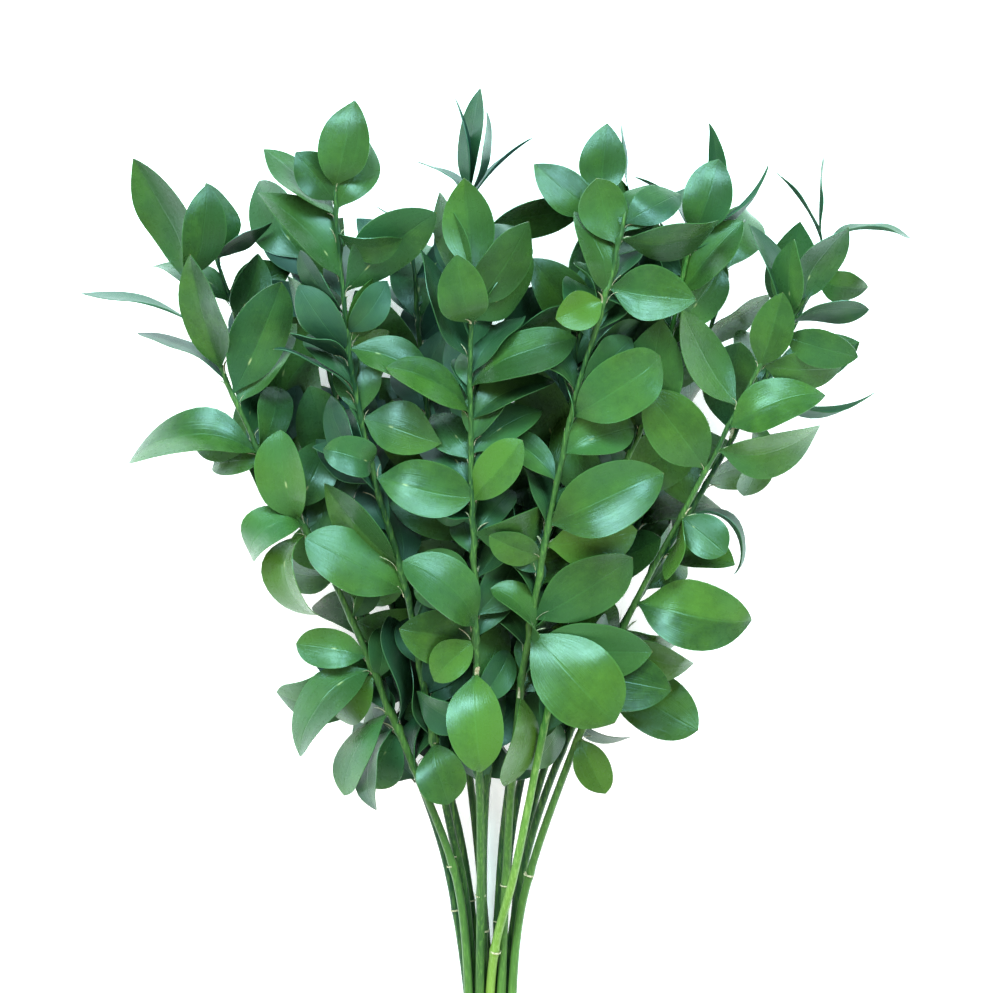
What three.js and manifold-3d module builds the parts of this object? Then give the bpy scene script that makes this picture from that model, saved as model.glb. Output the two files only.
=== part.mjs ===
// A tied bunch of cut ruscus stems, lying on a table: leafy stems fanned out flat, gathered in one tie.
// Units are millimetres. X runs across the bunch, Y from the cut ends to the tips, Z up from the table.
import * as THREE from "three";
import { mergeGeometries, mergeVertices } from "three/addons/utils/BufferGeometryUtils.js";
import Module from "manifold-3d";

const wasm = await Module();
wasm.setup();

// ---------------------------------------------------------------- driving dimensions
const STEM_RADIUS = 3.1; // at the cut end and in the tie
const TIP_RADIUS = 1.1; // at the top of a stem
const STEM_SIDES = 6;
const STEM_STEPS = 2; // rings between one point of a stem's route and the next
const TUCK = 85; // length of stem below the tie
const SLOT_PITCH = 6.6; // centre to centre of neighbouring stems in the tie
const TIE = { width: 9, wall: 2, gap: 0.4 };
const SPLAY = 1.2; // how much wider the cut ends stand than the tie
const BLUNT = 0.02; // details finer than this are smoothed off where leaf and stem join

const BLADE = {
  thick: 1.3, // at the midrib; the edge is sharp
  // the outline: how far along the leaf, and the share of its half width there
  outline: [[0, 0], [0.07, 0.14], [0.2, 0.7], [0.42, 1], [0.66, 0.91], [0.87, 0.52], [1, 0]],
};
// clearances kept while leaves are laid
const GAP = { leaf: 4.2, twin: 2.6, stem: 5.9, own: 3.6, floor: 0.4 };
const SHORTER = [1, 0.85, 0.7]; // a leaf that finds no room is tried again at these shares of its length
const FILL = { every: 22.5, length: 60, ratio: 0.54, spiral: 137.5 }; // leaves laid by rule

const GREEN = new THREE.Color(0.13, 0.32, 0.11);
const BAND = new THREE.Color(0.62, 0.5, 0.3);

// ---------------------------------------------------------------- the stems
// In the tie the stems lie in rows, from the table up: 0 has five stems, 1 four, 2 five. slot counts pitches
// from the middle of the row.
// route: points [x, y, z] that the stem passes above the tie.
// leaves: [height, heading, length, width, lift, turn, arch]. Height is the root's y; heading is 0 for right
// and 90 for straight up the bunch; lift is up from the table; turn rolls the blade; arch may be left out.
// fill: leaves laid by rule between two heights, on a seeded spiral.
const STEMS = [
  {
    name: "stem_centre", row: 2, slot: -1, seed: 11,
    route: [[-6, 107, 46], [-8.4, 213, 84], [-9.6, 285, 105], [-11.4, 392, 130], [-9, 455, 146]],
    leaves: [
      [207, 67, 45, 24, -15, 40], [218, -86, 66, 35, 10, 5, 45], [237, -136, 36, 24, -5, 0],
      [244, 135, 68, 36, 20, 30, 50], [302, 17, 54, 28, 0, 55, 110], [320, 51, 52, 28, 25, -25],
      [344, 127, 44, 26, -25, 20], [358, 66, 40, 22, -10, 45], [372, 150, 61, 32, 15, 50],
      [388, 28, 71, 36, 10, -40], [404, 111, 71, 36, 5, 60], [425, 103, 50, 30, 35, 0],
      [426, 50, 61, 32, -25, 50], [434, 57, 61, 34, 5, 35], [447, 110, 62, 32, -15, -55],
      [453, 90, 58, 32, 10, 10],
    ],
  },
  {
    name: "stem_centre_right", row: 2, slot: 1, seed: 12,
    route: [[10, 99, 36], [18, 201, 74], [31, 285, 104], [48, 370, 128], [68, 441, 145], [80, 490, 152]],
    leaves: [
      [204, -98, 60, 31, 5, -40, 35], [234, -3, 76, 38, -20, 30], [234, 121, 52, 28, 25, 45, 70],
      [242, -47, 78, 50, 10, 0, 45], [249, 32, 73, 38, 10, 20], [287, 158, 40, 22, 5, 25],
      [294, 15, 58, 34, -20, 0], [306, 25, 78, 42, 10, 0], [348, 21, 50, 30, -20, 0],
      [370, 32, 69, 38, 10, 10], [438, -158, 34, 24, 30, 0], [441, 109, 54, 28, 5, 40],
      [446, -8, 50, 34, 10, 0], [470, 108, 42, 31, 15, 0], [474, 4, 62, 32, -5, 55],
      [477, 56, 42, 26, -20, 0],
    ],
  },
  {
    name: "stem_right", row: 2, slot: 2, seed: 13,
    route: [[20, 76, 27], [57, 184, 56], [88, 260, 80], [130, 340, 104], [160, 399, 118], [188, 442, 126]],
    leaves: [
      [177, -66, 39, 23, 0, 10], [234, -22, 50, 28, 0, 25], [243, -14, 44, 25, -20, 45],
      [259, -12, 76, 43, 10, 0, 35], [311, -40, 36, 26, 15, 0], [313, -105, 42, 24, 5, 45],
      [339, 128, 63, 37, 10, 0], [351, 12, 66, 34, 5, 42], [364, 23, 65, 34, 10, -30],
      [376, 119, 68, 36, 10, 40], [399, 74, 50, 26, 20, 0], [401, -7, 52, 27, -10, 30],
      [419, -16, 48, 24, -10, 20], [423, 109, 66, 34, -5, 60], [425, 9, 50, 26, 5, 60],
      [429, 90, 48, 26, 15, -45], [437, 58, 54, 30, 10, 40],
    ],
  },
  {
    name: "stem_left", row: 2, slot: -2, seed: 14,
    route: [[-21, 87, 28], [-57, 182, 50], [-94, 272, 72], [-141, 355, 92], [-182, 452, 106]],
    leaves: [
      [180, -118, 44, 34, -25, 10], [183, -103, 60, 30, 12, 60, 100], [182, 92, 72, 36, 10, 60],
      [192, -119, 62, 33, -10, 40, 60], [215, -134, 44, 28, -25, 0], [218, -133, 76, 36, 10, 40, 50],
      [226, 170, 46, 25, 0, 5], [301, -84, 66, 34, 0, 55, 90], [305, -150, 50, 32, 0, 40, 120],
      [308, 103, 61, 33, 20, -25], [314, 65, 52, 30, -10, 0], [344, -177, 38, 22, -20, 30],
      [349, 175, 84, 38, 5, 45], [351, 71, 46, 25, -15, 30], [354, 159, 54, 28, -20, -35],
      [378, 56, 64, 34, -15, -30], [384, 65, 76, 37, 15, 25], [392, 149, 64, 34, -10, 65],
      [398, 104, 78, 32, 25, -35], [423, 164, 78, 34, 0, 70], [451, 76, 64, 32, 15, 40],
      [452, 113, 82, 35, 10, -35],
    ],
  },
  {
    name: "stem_centre_left", row: 1, slot: -1.5, seed: 15,
    route: [
      [-17, 84, 20], [-23, 111, 28], [-37, 190, 60], [-50, 265, 86], [-70, 339, 106], [-83, 405, 120],
      [-92, 507, 136],
    ],
    leaves: [
      [174, -76, 42, 31, 15, 10, 40], [175, 102, 56, 28, 5, 60], [265, 151, 72, 38, 15, 20],
      [281, 138, 68, 36, 5, -35], [335, -13, 62, 34, 15, -10], [342, 162, 40, 24, 30, 0, 70],
      [370, -20, 50, 33, 5, 0], [371, 98, 46, 30, -15, 0], [381, 148, 62, 30, 20, 75],
      [411, -15, 58, 30, 10, -35], [414, 67, 44, 24, -5, 40], [420, 138, 54, 28, -20, -45],
      [443, 40, 76, 38, 5, 30], [452, 134, 72, 36, 10, 45], [475, 146, 42, 24, -15, 20],
      [479, -6, 44, 24, 0, 55, 100], [488, 137, 60, 31, -5, 50], [492, 63, 50, 29, -15, 0],
      [497, 129, 38, 27, 12, -20], [505, 77, 56, 31, 10, 0],
    ],
  },
  {
    name: "stem_lime", row: 2, slot: 0, seed: 16,
    route: [
      [3.6, 46, 29], [15, 92, 48], [34, 188, 74], [49, 261, 90], [72, 321, 100], [100, 390, 110],
      [121, 484, 122],
    ],
    leaves: [
      [363, 159, 40, 26, -20, 0], [387, 41, 48, 28, -20, 30], [423, 53, 50, 28, -5, 0],
      [441, 50, 60, 32, 10, -40], [468, 30, 46, 22, -20, 70], [478, 72, 50, 30, 10, 0],
      [480, 41, 64, 30, -10, 75], [478, 130, 52, 24, -15, 70], [483, 78, 70, 28, -5, 80],
    ],
    fill: [222, 400],
  },
  {
    name: "stem_far_right", row: 1, slot: 1.5, seed: 17,
    route: [
      [22, 100, 19], [50, 183, 38], [86, 254, 52], [120, 312, 64], [150, 366, 72], [190, 441, 80],
      [202, 476, 84],
    ],
    leaves: [
      [191, 22, 62, 30, -10, 40], [186, -20, 42, 17, -20, 60],
      [311, -50, 60, 28, 0, -70, 100], [374, -91, 56, 30, 0, -50, 60], [388, -6, 75, 30, -10, 70],
      [456, -14, 34, 22, -5, 30], [470, 89, 58, 26, 0, 75], [472, 122, 56, 26, 5, 75],
      [474, 7, 54, 26, 0, -70],
    ],
    fill: [222, 450],
  },
  {
    name: "stem_high", row: 1, slot: -0.5, seed: 18,
    route: [[-4, 110, 30], [2, 215, 56], [6, 320, 74], [0, 420, 88], [-13, 505, 96]],
    leaves: [
      [477, 14, 70, 34, -10, 50], [488, 174, 61, 26, -5, -75], [494, 135, 46, 22, -5, 65],
      [500, 45, 54, 24, 0, -75], [503, 98, 60, 22, 8, 70], [504, 78, 53, 24, 0, 60],
      [505, 90, 67, 22, -8, -60],
    ],
    fill: [215, 480],
  },
  {
    name: "stem_high_right", row: 1, slot: 0.5, seed: 19,
    route: [[8, 110, 26], [22, 215, 50], [38, 320, 68], [54, 420, 82], [66, 502, 92]],
    leaves: [[492, 141, 50, 27, 0, -20], [501, 84, 46, 29, 5, 0]],
    fill: [215, 480],
  },
  {
    name: "stem_low_left", row: 0, slot: -2, seed: 20,
    route: [
      [-28, 100, 13], [-60, 190, 25], [-90, 280, 36], [-120, 350, 44], [-147, 410, 50], [-167, 470, 55],
    ],
    leaves: [
      [344, 81, 67, 36, 10, -45], [429, 71, 46, 26, 5, 25], [441, 152, 56, 24, -5, 50],
      [447, 21, 42, 24, 0, -15], [466, 98, 50, 26, 0, 50], [468, 30, 40, 18, 0, 60],
      [300, 113, 62, 32, -37, 12],
    ],
    fill: [190, 400],
  },
  {
    name: "stem_low_centre_left", row: 0, slot: -1, seed: 21,
    route: [[-18, 110, 14], [-46, 210, 30], [-76, 310, 42], [-98, 400, 50], [-114, 478, 54]],
    leaves: [],
    fill: [200, 486],
  },
  {
    name: "stem_low_centre", row: 0, slot: 0, seed: 22,
    route: [[-8, 110, 14], [-20, 215, 30], [-32, 320, 40], [-42, 410, 46], [-48, 478, 50]],
    leaves: [],
    fill: [205, 462],
  },
  {
    name: "stem_low_centre_right", row: 0, slot: 1, seed: 23,
    route: [[12, 110, 14], [33, 215, 30], [56, 320, 42], [78, 410, 50], [90, 494, 56]],
    leaves: [[492, 136, 42, 22, 10, 30], [494, 31, 48, 24, 0, -60], [496, 99, 60, 22, 0, 75]],
    fill: [210, 480],
  },
  {
    name: "stem_low_right", row: 0, slot: 2, seed: 24,
    route: [[19, 100, 11], [48, 200, 25], [88, 300, 36], [124, 390, 44], [148, 480, 50]],
    leaves: [[435, 117, 46, 26, 0, -20], [300, 68, 60, 31, -36, -10]],
    fill: [236, 486],
  },
];

// ---------------------------------------------------------------- small helpers
const radians = THREE.MathUtils.degToRad;
const rowHeight = (row) => TIE.wall + TIE.gap + STEM_RADIUS + row * SLOT_PITCH * Math.sin(radians(60));

// The same draws each run, from a whole-number seed.
function drawsFrom(seed) {
  let state = seed;
  return (low, high) => {
    state = (state * 1664525 + 1013904223) % 4294967296;
    return low + ((high - low) * state) / 4294967296;
  };
}

// A closed geometry as a manifold solid.
function solidOf(geometry) {
  const bare = geometry.clone();
  bare.deleteAttribute("normal");
  bare.deleteAttribute("uv");
  const merged = mergeVertices(bare, 1e-4);
  const index = merged.index.array;
  const triVerts = [];
  for (let i = 0; i < index.length; i += 3) {
    const [a, b, c] = [index[i], index[i + 1], index[i + 2]];
    if (a !== b && b !== c && c !== a) triVerts.push(a, b, c);
  }
  return new wasm.Manifold(
    new wasm.Mesh({
      numProp: 3,
      vertProperties: merged.attributes.position.array,
      triVerts: new Uint32Array(triVerts),
    }),
  );
}

function geometryOf(solid) {
  const mesh = solid.getMesh();
  const geometry = new THREE.BufferGeometry();
  geometry.setAttribute("position", new THREE.BufferAttribute(mesh.vertProperties, 3));
  geometry.setIndex(new THREE.BufferAttribute(mesh.triVerts, 1));
  geometry.computeVertexNormals();
  return geometry;
}

// ---------------------------------------------------------------- stems
// The stem's centre line: cut end, through the tie, then along its route.
function centreLine(stem) {
  const x = stem.slot * SLOT_PITCH;
  const z = rowHeight(stem.row);
  const points = [[x * SPLAY, -TUCK, z], [x, -TIE.width, z], [x, TIE.width, z], ...stem.route];
  return new THREE.CatmullRomCurve3(points.map((p) => new THREE.Vector3(...p)), false, "centripetal");
}

// A stem thins towards its tip, at height y of a stem that ends at height top.
function stemRadius(stem, y) {
  const share = (y + TUCK) / (stem.top + TUCK);
  return THREE.MathUtils.lerp(STEM_RADIUS, TIP_RADIUS, THREE.MathUtils.clamp(share, 0, 1) ** 1.1);
}

// Directions to the right of a stem and above it.
function sidesOf(along) {
  const side = along.clone().cross(new THREE.Vector3(0, 0, 1)).normalize();
  return [side, side.clone().cross(along)];
}

// A tapered round stem: a cylinder whose rings are moved onto the centre line. Its corners face the stems that
// it lies against in the tie.
function stemGeometry(stem) {
  const steps = STEM_STEPS * (stem.line.points.length - 1);
  const tube = new THREE.CylinderGeometry(1, 1, 1, STEM_SIDES, steps, false, Math.PI / STEM_SIDES);
  const position = tube.attributes.position;
  for (let i = 0; i < position.count; i++) {
    const share = position.getY(i) + 0.5;
    const centre = stem.line.getPoint(share);
    const along = stem.line.getTangent(share);
    const [side, up] = sidesOf(along);
    const radius = stemRadius(stem, centre.y);
    centre.addScaledVector(side, position.getX(i) * radius);
    centre.addScaledVector(up, position.getZ(i) * radius);
    position.setXYZ(i, centre.x, centre.y, centre.z);
  }
  return tube;
}

// The point of the centre line at a height, and the stem's direction and radius there.
function stemAt(stem, height) {
  const dots = stem.dots;
  const y = Math.min(height, stem.top - 2 * TIP_RADIUS);
  let i = 1;
  while (i < dots.length - 1 && dots[i].y < y) i++;
  const share = (y - dots[i - 1].y) / (dots[i].y - dots[i - 1].y);
  return {
    point: dots[i - 1].clone().lerp(dots[i], Math.min(share, 1)),
    along: dots[i].clone().sub(dots[i - 1]).normalize(),
    radius: stemRadius(stem, y),
  };
}

// ---------------------------------------------------------------- leaves
// Half the blade's width, from the root (t = 0) to the pointed tip (t = 1).
function halfWidth(leaf, t) {
  let i = 1;
  while (i < BLADE.outline.length - 1 && BLADE.outline[i][0] < t) i++;
  const [[t0, w0], [t1, w1]] = [BLADE.outline[i - 1], BLADE.outline[i]];
  return (leaf.width / 2) * THREE.MathUtils.lerp(w0, w1, (t - t0) / (t1 - t0));
}

// A point of the leaf: t along it, u across it from edge to edge, off above its middle surface.
function bladePoint(leaf, t, u, off = 0) {
  const bend = leaf.arch * (0.5 - t);
  const along = (leaf.length / leaf.arch) * (Math.sin(leaf.arch / 2) - Math.sin(bend));
  const rise = (leaf.length / leaf.arch) * (Math.cos(bend) - Math.cos(leaf.arch / 2));
  const face = leaf.face.clone().multiplyScalar(Math.cos(bend));
  face.addScaledVector(leaf.chord, -Math.sin(bend));
  const twist = leaf.twist * (t - 0.5);
  const across = leaf.side.clone().multiplyScalar(Math.cos(twist)).addScaledVector(face, Math.sin(twist));
  const normal = face.multiplyScalar(Math.cos(twist)).addScaledVector(leaf.side, -Math.sin(twist));
  const half = halfWidth(leaf, t);
  return leaf.root
    .clone()
    .addScaledVector(leaf.chord, along)
    .addScaledVector(leaf.face, rise)
    .addScaledVector(across, u * half)
    .addScaledVector(normal, leaf.cup * half * u * u + off);
}

// Turns a leaf's angles into its three directions: along the chord, across the blade and out of its face.
function aim(leaf, nudge, share) {
  const heading = radians(leaf.heading + nudge[0]);
  const lift = radians(leaf.lift + nudge[1]);
  const turn = radians(leaf.turn + nudge[2]);
  const chord = new THREE.Vector3(
    Math.cos(heading) * Math.cos(lift),
    Math.sin(heading) * Math.cos(lift),
    Math.sin(lift),
  );
  const flat = new THREE.Vector3(-Math.sin(heading), Math.cos(heading), 0);
  const out = new THREE.Vector3().crossVectors(chord, flat);
  return {
    ...leaf,
    root: leaf.at.point,
    chord,
    side: flat.clone().multiplyScalar(Math.cos(turn)).addScaledVector(out, Math.sin(turn)),
    face: out.clone().multiplyScalar(Math.cos(turn)).addScaledVector(flat, -Math.sin(turn)),
    length: leaf.length * share,
    width: leaf.width * share,
  };
}

// Points spread over the blade, by which its distance to others is judged, from the root up.
function dotsOf(leaf) {
  const dots = [];
  for (let i = 2; i <= 12; i++)
    for (let j = -3; j <= 3; j++) dots.push(bladePoint(leaf, i / 12, j * 0.32));
  return dots;
}
const outerDots = (dots) => dots.slice(21);

const isNear = (dots, others, gap) =>
  dots.some((a) => others.some((b) => a.distanceToSquared(b) < gap * gap));

// True where the leaf keeps clear of the table, of every stem and of every leaf laid so far.
function isClear(leaf, stem, laid) {
  const dots = dotsOf(leaf);
  if (dots.some((dot) => dot.z < GAP.floor)) return false;
  const outer = outerDots(dots);
  const middle = leaf.root.clone().addScaledVector(leaf.chord, leaf.length / 2);
  const reach = 0.6 * leaf.length + GAP.stem;
  for (const other of STEMS) {
    const near = other.dots.filter((dot) => dot.distanceTo(middle) < reach);
    if (other === stem ? isNear(outer, near, GAP.own) : isNear(dots, near, GAP.stem)) return false;
  }
  return laid.every((other) => {
    if (other.middle.distanceTo(middle) > other.reach + reach) return true;
    if (other.stem === stem) return !isNear(outer, outerDots(other.dots), GAP.twin);
    return !isNear(dots, other.dots, GAP.leaf);
  });
}

// Ways to move a leaf, least first: steps of heading, lift and turn.
const NUDGES = [];
for (let h = -3; h <= 3; h++)
  for (let l = -4; l <= 4; l++)
    for (let t = -3; t <= 3; t++) NUDGES.push([h, l, t, 4 * h * h + 2 * l * l + t * t]);
NUDGES.sort((a, b) => a[3] - b[3]);

// Lays a leaf as asked, or moved a little until it has room; a leaf with no room at all isn't grown.
function lay(leaf, stem, laid) {
  for (const share of SHORTER)
    for (const [h, l, t] of NUDGES) {
      const tried = aim(leaf, [6 * h, 8 * l, 15 * t], share);
      if (!isClear(tried, stem, laid)) continue;
      tried.stem = stem;
      tried.dots = dotsOf(tried);
      tried.middle = tried.root.clone().addScaledVector(tried.chord, tried.length / 2);
      tried.reach = 0.6 * tried.length;
      laid.push(tried);
      return;
    }
}

// A leaf's own small differences.
function withHabit(leaf, draw, arch) {
  const bowed = draw(18, 42) * (draw(0, 1) < 0.75 ? 1 : -1);
  return {
    ...leaf,
    arch: radians(arch ?? bowed),
    twist: radians(draw(-38, 38)),
    cup: draw(-0.05, 0.22),
  };
}

function layStated(stem, laid) {
  const draw = drawsFrom(stem.seed);
  for (const [height, heading, length, width, lift, turn, arch] of stem.leaves) {
    const at = stemAt(stem, height);
    lay(withHabit({ at, heading, length, width, lift, turn }, draw, arch), stem, laid);
  }
}

function layFilling(stem, laid) {
  if (!stem.fill) return;
  const draw = drawsFrom(stem.seed + 100);
  const [from, to] = stem.fill;
  const count = Math.round((to - from) / FILL.every);
  for (let i = 0; i < count; i++) {
    const share = i / count;
    const at = stemAt(stem, from + (i + draw(-0.2, 0.2)) * FILL.every);
    const { along } = at;
    const round = radians(i * FILL.spiral + draw(-25, 25));
    const open = radians(THREE.MathUtils.lerp(82, 38, share) + draw(-12, 12));
    const [side, up] = sidesOf(along);
    const way = along.clone().multiplyScalar(Math.cos(open));
    way.addScaledVector(side, Math.sin(open) * Math.cos(round));
    way.addScaledVector(up, Math.sin(open) * Math.sin(round));
    const length = FILL.length * draw(0.85, 1.2);
    const leaf = {
      at,
      heading: THREE.MathUtils.radToDeg(Math.atan2(way.y, way.x)),
      lift: THREE.MathUtils.clamp(THREE.MathUtils.radToDeg(Math.asin(way.z)), -32, 40),
      turn: draw(-55, 55),
      length,
      width: length * FILL.ratio,
    };
    lay(withHabit(leaf, draw), stem, laid);
  }
}

// A blade is two alike skins that meet at the rim.
function leafGeometry(leaf) {
  const skin = (facing) => {
    const sheet = new THREE.PlaneGeometry(2, 2, 2, BLADE.outline.length - 1);
    const position = sheet.attributes.position;
    for (let i = 0; i < position.count; i++) {
      const u = Math.round(position.getX(i));
      const t = BLADE.outline[Math.floor(i / 3)][0];
      const inside = u === 0 && t > 0 && t < 1;
      const point = bladePoint(leaf, t, u, inside ? (facing * BLADE.thick) / 2 : 0);
      position.setXYZ(i, point.x, point.y, point.z);
    }
    if (facing < 0) sheet.index.array.reverse();
    return sheet;
  };
  return mergeGeometries([skin(1), skin(-1)]);
}

// ---------------------------------------------------------------- the tie
// A flat band round the gathered stems: two rounded outlines, one inside the other.
function bandOutline(grow) {
  const corner = STEM_RADIUS + TIE.gap + grow;
  const halfWide = 2 * SLOT_PITCH;
  const high = rowHeight(2) - rowHeight(0);
  const outline = new THREE.Path();
  outline.absarc(halfWide, high, corner, 0, Math.PI / 2, false);
  outline.absarc(-halfWide, high, corner, Math.PI / 2, Math.PI, false);
  outline.absarc(-halfWide, 0, corner, Math.PI, 1.5 * Math.PI, false);
  outline.absarc(halfWide, 0, corner, 1.5 * Math.PI, 2 * Math.PI, false);
  return outline.getPoints(4);
}

function tieGeometry() {
  const shape = new THREE.Shape(bandOutline(TIE.wall));
  shape.holes.push(new THREE.Path(bandOutline(0)));
  const band = new THREE.ExtrudeGeometry(shape, { depth: TIE.width, bevelEnabled: false });
  band.translate(0, rowHeight(0), -TIE.width / 2);
  return band.rotateX(Math.PI / 2);
}

// ---------------------------------------------------------------- the bunch
for (const stem of STEMS) {
  stem.line = centreLine(stem);
  stem.dots = stem.line.getPoints(110);
  stem.top = stem.dots.at(-1).y;
}
const laid = [];
for (const stem of STEMS) layStated(stem, laid);
for (const stem of STEMS) layFilling(stem, laid);

const leafGreen = new THREE.MeshStandardMaterial({ color: GREEN, roughness: 0.4, metalness: 0 });
const bandTan = new THREE.MeshStandardMaterial({ color: BAND, roughness: 0.7, metalness: 0 });

const bunch = new THREE.Group();
for (const stem of STEMS) {
  let solid = solidOf(stemGeometry(stem));
  for (const leaf of laid) if (leaf.stem === stem) solid = solid.add(solidOf(leafGeometry(leaf)));
  // The largest shell is the whole stem; the others are pockets that crossing roots close off.
  const shells = solid.simplify(BLUNT).decompose();
  const whole = shells.reduce((most, shell) => (shell.volume() > most.volume() ? shell : most));
  const mesh = new THREE.Mesh(geometryOf(whole), leafGreen);
  mesh.name = stem.name;
  bunch.add(mesh);
}
const tie = new THREE.Mesh(tieGeometry(), bandTan);
tie.name = "tie";
bunch.add(tie);

// The bunch stands with the middle of its lowest side at the origin.
const box = new THREE.Box3().setFromObject(bunch, true);
bunch.position.set(-(box.min.x + box.max.x) / 2, -(box.min.y + box.max.y) / 2, -box.min.z);

export default bunch;
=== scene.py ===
import math

import bmesh
import bpy
import numpy as np
from mathutils import Matrix, Vector
from mathutils.bvhtree import BVHTree


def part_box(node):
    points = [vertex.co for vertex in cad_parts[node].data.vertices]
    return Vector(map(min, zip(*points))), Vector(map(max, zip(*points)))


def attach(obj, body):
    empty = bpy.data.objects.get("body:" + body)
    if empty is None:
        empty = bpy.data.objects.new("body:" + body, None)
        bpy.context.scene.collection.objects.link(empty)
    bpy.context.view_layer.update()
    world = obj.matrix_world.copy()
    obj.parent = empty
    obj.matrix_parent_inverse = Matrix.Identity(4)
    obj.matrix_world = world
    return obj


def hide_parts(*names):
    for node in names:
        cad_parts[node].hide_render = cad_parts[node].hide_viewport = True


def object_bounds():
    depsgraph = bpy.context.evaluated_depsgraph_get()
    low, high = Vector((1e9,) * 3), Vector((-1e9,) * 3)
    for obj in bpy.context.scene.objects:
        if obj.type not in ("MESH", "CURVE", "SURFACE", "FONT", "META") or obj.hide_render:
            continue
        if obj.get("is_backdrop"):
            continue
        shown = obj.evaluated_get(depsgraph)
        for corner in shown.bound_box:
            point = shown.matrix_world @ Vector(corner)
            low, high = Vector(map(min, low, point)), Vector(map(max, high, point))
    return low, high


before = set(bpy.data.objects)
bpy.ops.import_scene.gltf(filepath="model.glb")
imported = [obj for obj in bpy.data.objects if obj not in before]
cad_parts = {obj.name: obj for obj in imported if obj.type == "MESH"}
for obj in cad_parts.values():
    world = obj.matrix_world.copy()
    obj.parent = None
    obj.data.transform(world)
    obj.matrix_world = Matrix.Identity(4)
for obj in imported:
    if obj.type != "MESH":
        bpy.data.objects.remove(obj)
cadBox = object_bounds()

# Lengths are millimetres from the middle of the tie, until a finished mesh is moved into the frame
# in metres. x runs across the bunch, y from the cut ends to the tips and z up from the table.
millimetre = 0.001
tieLow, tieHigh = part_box("tie")
bunchPlace = Vector(((tieLow.x + tieHigh.x) / 2, (tieLow.y + tieHigh.y) / 2, tieLow.z))

cane = {
    "radius": 3.1,  # at the cut end
    "tipRadius": 1.1,
    "taper": 1.1,  # above 1, it thins more towards the tip
    "tuck": 85,  # length below the tie
    "pitch": 6.6,  # centre to centre of neighbouring canes in the tie
    "splay": 1.2,  # how much further apart the cut ends are
    "dots": 110,  # steps along a cane while leaves are laid
    "sides": 12,
    "rings": 170,
    "swelling": 0.2,  # at a node
    "swellingReach": 2.6,
    "firstNode": (12, 90),  # from the cut end
    "bareNodes": (85, 150),  # from one node of the bare part to the next
    "leafless": 20,  # between the last of them and the first leaf
    "kink": 0.7,  # how far a cane steps aside at a node
    "tones": ((0.0, 0.35), (0.1, 0.55), (0.5, 0.9)),  # how light the canes of each row are: the rows nearer the table are darker, a painted shade of the canes that lie under the others
    "fade": 0.8,  # how much darker they are at the top
    "limeFade": 3.2,
    "fadeMiddle": 0.19,  # where the tone is as drawn, as a share of the height
}
tieForm = {"width": 9, "wall": 2, "gap": 0.4}  # the gap is between it and the canes
leafForm = {
    "outline": [(0, 0), (0.07, 0.14), (0.2, 0.7), (0.42, 1), (0.66, 0.91), (0.87, 0.52), (1, 0)],
    # finer outlines, that each leaf mixes its own way
    "pointed": [
        (0, 0), (0.06, 0.1), (0.19, 0.61), (0.34, 0.94), (0.47, 1), (0.66, 0.89), (0.84, 0.54),
        (0.95, 0.19), (1, 0),
    ],
    "blunt": [
        (0, 0), (0.06, 0.08), (0.19, 0.5), (0.36, 0.87), (0.56, 1), (0.74, 0.95), (0.88, 0.7),
        (0.96, 0.36), (1, 0),
    ],
    "pointedness": (0.9, 0.25),  # of the leaves at the bunch's tips, at its left and at its right
    "rows": [0, 0.04, 0.1, 0.18, 0.29, 0.42, 0.56, 0.7, 0.82, 0.91, 0.965, 1],
    "columns": 4,
    "arch": (18, 42),  # degrees that the leaf bends through from root to tip
    "archedUp": 0.75,  # share of the leaves that are high in the middle
    "twist": (-38, 38),
    "cup": (-0.05, 0.22),  # how far the edges rise, as a share of the half width
    "thick": 0.42,
    "stalk": (0.12, 0.75),  # where the stalk ends, and half its width
    "tip": (0.9, 0.12),
    "wave": (0.03, 0.15),  # how far the edge waves, as a share of the half width
    "waves": (0.8, 2.2),
    "crease": (-0.1, 0.48),  # how far the halves fold up from the midrib
    "bend": 1.35,  # how much more the whole leaf bends and twists than the solid's
    # shares of the length that the lower half bows, the tip bends down and the rib bows sideways
    "bow": (0.02, 0.06),
    "bowEnd": 0.65,
    "curl": (0.02, 0.085),
    "curled": (0.55, 0.45),  # where the tip starts to bend, and for how long
    "hooked": 0.34,  # share of the leaves whose tips bend down much further
    "hook": (0.09, 0.2),
    "sway": (-0.04, 0.04),
    "lopsided": (-0.13, 0.13),  # how much wider one half is than the other
    "onEdge": (57, 65),  # degrees of turn from which a leaf stands on its edge
    "steeper": 11,  # degrees more on edge, for those leaves
    "straighter": 0.6,  # how much less they twist
    "upper": (330, 480),  # heights where the top leaves begin and are all
    "reach": 0.55,  # from a leaf's middle, where others may cross it, as a share of its length
}
laying = {  # clearances that leaves keep, and the ways that one may be moved
    "gap": {"leaf": 4.2, "twin": 2.6, "stem": 5.9, "own": 3.6, "floor": 0.4},
    "shorter": (1, 0.85, 0.7),
    "step": (6, 8, 15),
    # leaves laid by rule
    "every": 22.5,
    "scatter": (-0.2, 0.2),  # of the places along the cane
    "spiral": 137.5,  # degrees from one leaf to the next
    "around": (-25, 25),
    "opening": (82, 38),  # degrees from the cane, at the lowest and the topmost leaf
    "ajar": (-12, 12),
    "length": 60,
    "lengths": (0.85, 1.2),
    "ratio": 0.54,
    "lift": (-32, 40),
    "turn": (-55, 55),
}

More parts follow.
